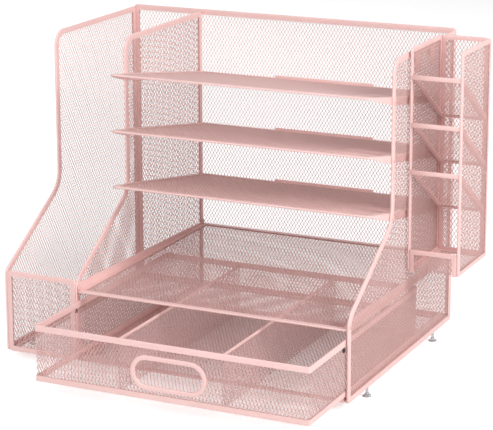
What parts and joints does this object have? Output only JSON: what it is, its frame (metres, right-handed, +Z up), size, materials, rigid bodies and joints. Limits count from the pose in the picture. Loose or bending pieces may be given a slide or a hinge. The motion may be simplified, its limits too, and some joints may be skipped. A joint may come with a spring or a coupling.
{
  "type": "desk organizer",
  "caption": "Steel mesh desk organizer: upright file holder, sloping letter shelves over a deck, a sliding divided drawer with a finger hole, and a lift-off pen holder hooked on the side.",
  "frame": {"origin": "below the middle of the whole object as it stands with the drawer part open, at the height of the feet's undersides", "axes": "+X to the right seen from the front, +Y from the front to the back, +Z up"},
  "size_m": [0.476, 0.4038, 0.356],
  "materials": {
    "powder_coated_strip": "satin powder coat",
    "powder_coated_mesh": "satin powder coat on expanded metal",
    "painted_screw": "satin",
    "clear_plastic": "clear moulded PVC",
    "black_nylon": "matte"
  },
  "bodies": {
    "cabinet": {"file_side_rim": "powder_coated_strip", "file_side_mesh": "powder_coated_mesh", "left_panel_rim": "powder_coated_strip", "left_panel_mesh": "powder_coated_mesh", "right_panel_rim": "powder_coated_strip", "right_panel_mesh": "powder_coated_mesh", "back_rim": "powder_coated_strip", "back_mesh": "powder_coated_mesh", "file_front_rim": "powder_coated_strip", "file_front_mesh": "powder_coated_mesh", "file_floor_rim": "powder_coated_strip", "file_floor_mesh": "powder_coated_mesh", "base_rim": "powder_coated_strip", "base_mesh": "powder_coated_mesh", "drawer_runners": "powder_coated_strip", "deck_rim": "powder_coated_strip", "deck_mesh": "powder_coated_mesh", "lower_shelf_rim": "powder_coated_strip", "lower_shelf_mesh": "powder_coated_mesh", "middle_shelf_rim": "powder_coated_strip", "middle_shelf_mesh": "powder_coated_mesh", "upper_shelf_rim": "powder_coated_strip", "upper_shelf_mesh": "powder_coated_mesh", "panel_screws": "painted_screw", "feet": "clear_plastic"},
    "drawer": {"drawer_top_rim": "powder_coated_strip", "drawer_bottom_rim": "powder_coated_strip", "drawer_front_mesh": "powder_coated_mesh", "drawer_back_mesh": "powder_coated_mesh", "drawer_left_mesh": "powder_coated_mesh", "drawer_right_mesh": "powder_coated_mesh", "drawer_floor_mesh": "powder_coated_mesh", "finger_ring": "powder_coated_strip", "left_divider_edge": "powder_coated_strip", "left_divider_mesh": "powder_coated_mesh", "right_divider_edge": "powder_coated_strip", "right_divider_mesh": "powder_coated_mesh", "drawer_glides": "black_nylon"},
    "pen_holder": {"pen_inner_rim": "powder_coated_strip", "pen_inner_mesh": "powder_coated_mesh", "pen_outer_rim": "powder_coated_strip", "pen_outer_mesh": "powder_coated_mesh", "pen_back_rim": "powder_coated_strip", "pen_back_mesh": "powder_coated_mesh", "pen_basket_rim": "powder_coated_strip", "pen_floor_rim": "powder_coated_strip", "pen_basket_mesh": "powder_coated_mesh", "upper_pen_shelf_rim": "powder_coated_strip", "upper_pen_shelf_mesh": "powder_coated_mesh", "middle_pen_shelf_rim": "powder_coated_strip", "middle_pen_shelf_mesh": "powder_coated_mesh", "lower_pen_shelf_rim": "powder_coated_strip", "lower_pen_shelf_mesh": "powder_coated_mesh", "pen_hooks": "powder_coated_strip"}
  },
  "joints": [
    {"name": "drawer_slide", "type": "slide", "parent": "cabinet", "child": "drawer", "axis": [0, -1, 0], "range_m": [-0.092, 0.108]},
    {"name": "pen_holder_lift", "type": "slide", "parent": "cabinet", "child": "pen_holder", "axis": [0, 0, 1], "range_m": [0, 0.03]}
  ]
}
